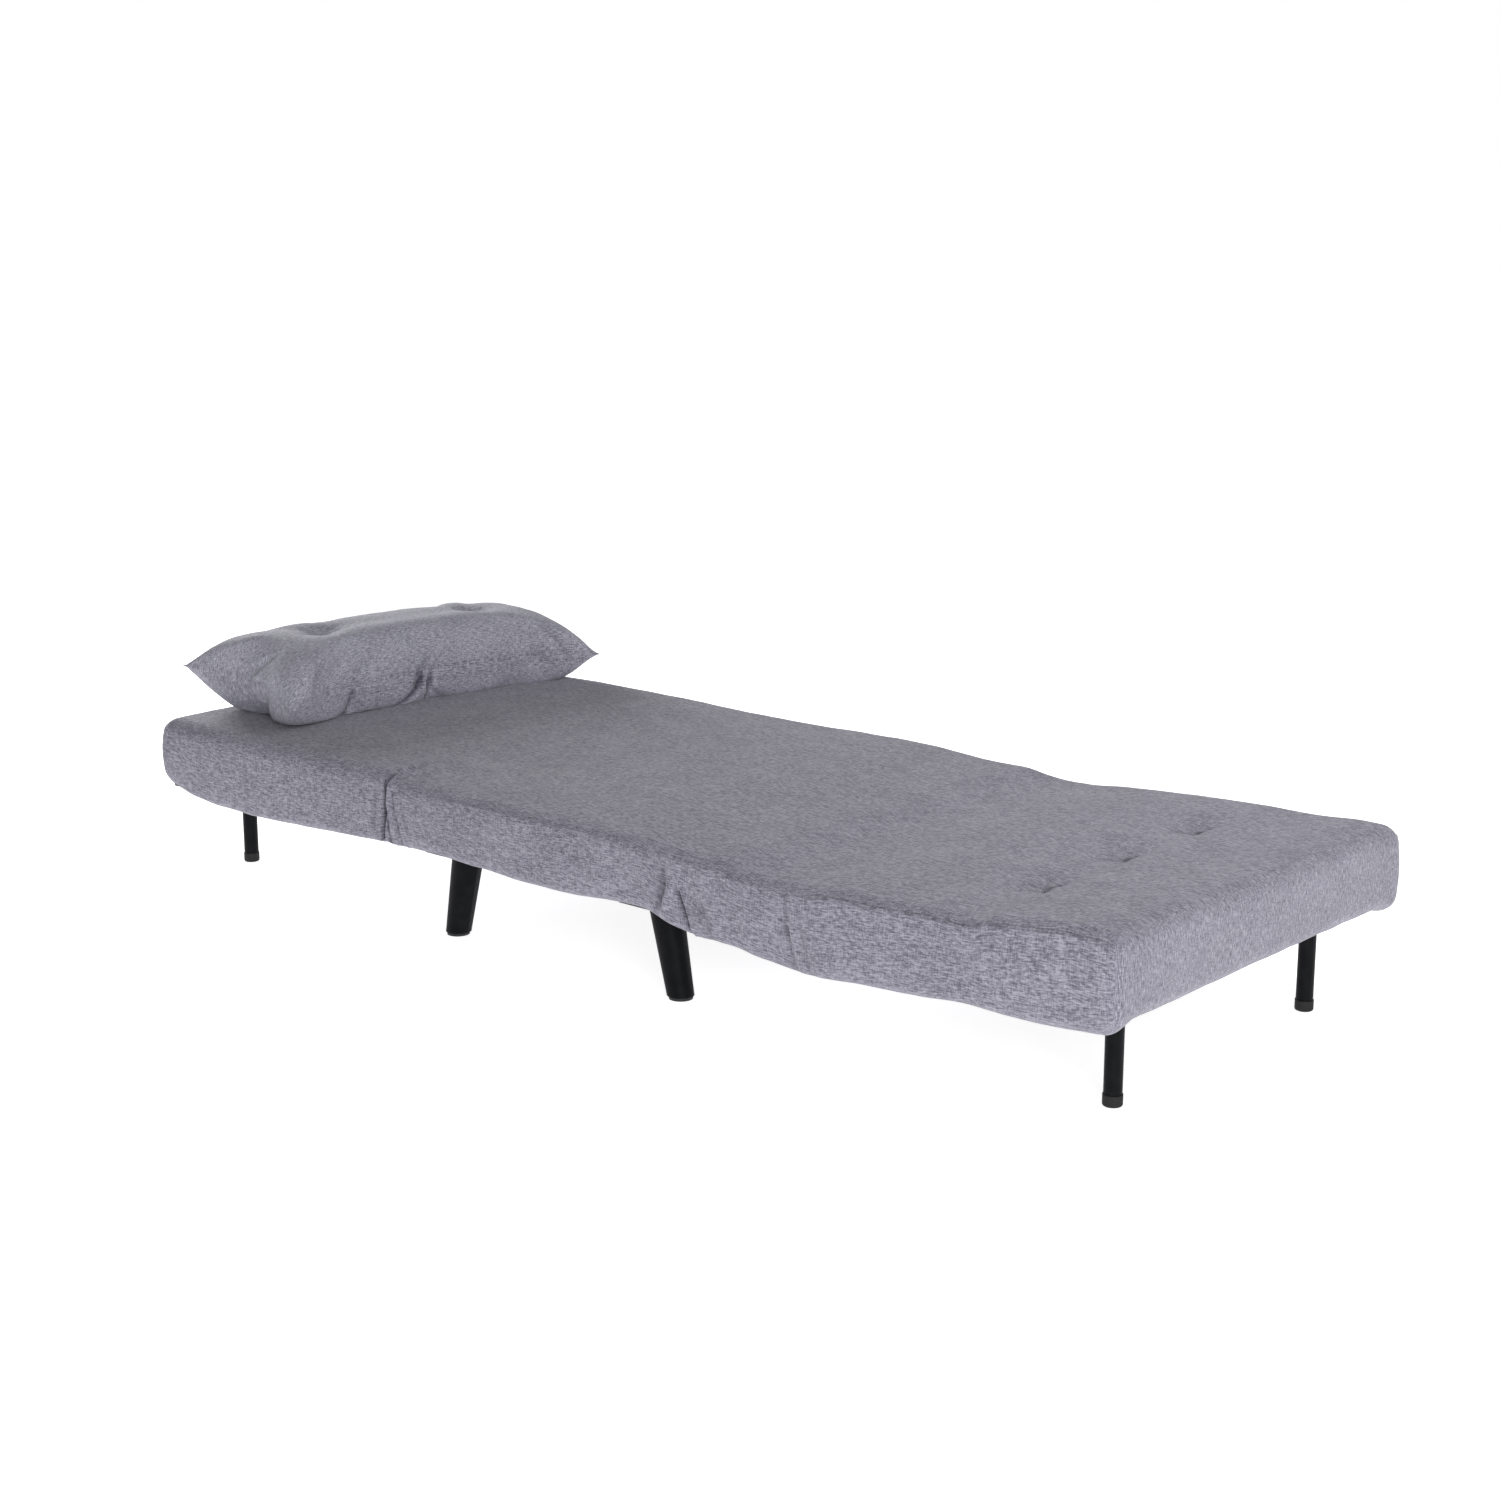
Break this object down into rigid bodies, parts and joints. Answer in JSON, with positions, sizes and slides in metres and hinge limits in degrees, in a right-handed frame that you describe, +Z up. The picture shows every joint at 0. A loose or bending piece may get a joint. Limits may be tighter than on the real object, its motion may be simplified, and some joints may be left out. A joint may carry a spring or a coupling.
{
  "type": "futon sofa bed",
  "caption": "Fold-out chair bed opened flat: padded front, seat and back sections on black legs, with a loose pillow; the front turns over, the back reclines and the end legs fold.",
  "frame": {"origin": "on the floor, under the centre of the opened bed", "axes": "+X along the bed from the pillow end to the back section, +Y across it, +Z up"},
  "size_m": [1.95, 0.742, 0.3957],
  "materials": {
    "cover_cloth": "matte",
    "foam": "matte",
    "lining_cloth": "matte",
    "pillow_cloth": "matte",
    "pillow_fibre": "matte",
    "thread": "matte",
    "frame_steel": "satin",
    "leg_tube_steel": "satin",
    "hinge_steel": "satin",
    "zinc_steel": "satin",
    "slat_wood": "satin",
    "leg_plastic": "satin",
    "black_plastic": "matte",
    "white_plastic": "satin",
    "cap_rubber": "matte"
  },
  "bodies": {
    "seat": {"seat_side_rails": "frame_steel", "seat_cross_rails": "frame_steel", "seat_slats": "slat_wood", "seat_slat_holders": "black_plastic", "seat_foam": "foam", "seat_cover": "cover_cloth", "seat_dust_cloth": "lining_cloth", "tapered_legs": "leg_plastic", "leg_glides": "black_plastic", "leg_studs": "zinc_steel", "leg_nuts": "zinc_steel", "leg_plates": "frame_steel", "leg_plate_screws": "zinc_steel", "flip_fixed_arms": "hinge_steel", "flip_pins": "zinc_steel", "recline_fixed_plates": "hinge_steel", "recline_pins": "zinc_steel", "seat_hinge_bolts": "zinc_steel"},
    "front": {"front_side_rails": "frame_steel", "front_cross_rails": "frame_steel", "front_slats": "slat_wood", "front_slat_holders": "black_plastic", "front_foam": "foam", "front_under_pad": "foam", "front_cover": "cover_cloth", "front_dust_cloth": "cover_cloth", "flip_moving_arms": "hinge_steel", "flip_spacers": "hinge_steel", "front_leg_brackets": "hinge_steel", "front_leg_pins": "zinc_steel", "front_bolts": "zinc_steel"},
    "back": {"back_side_rails": "frame_steel", "back_cross_rails": "frame_steel", "back_slats": "slat_wood", "back_slat_holders": "black_plastic", "back_foam": "foam", "back_cover": "cover_cloth", "back_dust_cloth": "lining_cloth", "recline_moving_arms": "hinge_steel", "recline_pawls": "hinge_steel", "recline_spacers": "hinge_steel", "back_leg_brackets": "hinge_steel", "back_leg_pins": "zinc_steel", "back_bolts": "zinc_steel", "tuft_buttons": "thread", "tuft_ties": "thread", "tuft_washers": "white_plastic"},
    "front_leg": {"front_leg_tube": "leg_tube_steel", "front_leg_posts": "leg_tube_steel", "front_leg_bushes": "white_plastic", "front_leg_caps": "cap_rubber"},
    "back_leg": {"back_leg_tube": "leg_tube_steel", "back_leg_posts": "leg_tube_steel", "back_leg_bushes": "white_plastic", "back_leg_caps": "cap_rubber"},
    "pillow": {"pillow_cover": "pillow_cloth", "pillow_filling": "pillow_fibre", "pillow_ties": "thread"}
  },
  "joints": [
    {"name": "front_flip", "type": "hinge", "parent": "seat", "child": "front", "pos_m": [-0.38493, 0, 0.256], "axis": [0, 1, 0], "range_deg": [0, 180]},
    {"name": "back_recline", "type": "hinge", "parent": "seat", "child": "back", "pos_m": [0.28509, 0, 0.165], "axis": [0, -1, 0], "range_deg": [0, 78]},
    {"name": "front_leg_fold", "type": "hinge", "parent": "front", "child": "front_leg", "pos_m": [-0.9, 0, 0.16], "axis": [0, -1, 0], "range_deg": [0, 90]},
    {"name": "back_leg_fold", "type": "hinge", "parent": "back", "child": "back_leg", "pos_m": [0.9, 0, 0.16], "axis": [0, 1, 0], "range_deg": [0, 90]},
    {"name": "pillow_slide", "type": "slide", "parent": "front", "child": "pillow", "axis": [0, 0.9923, 0.1238], "range_m": [0, 0.85]}
  ],
  "couplings": [
    {"joint": "pillow_slide", "follows": "front_flip", "m_per_rad": 0.27}
  ]
}
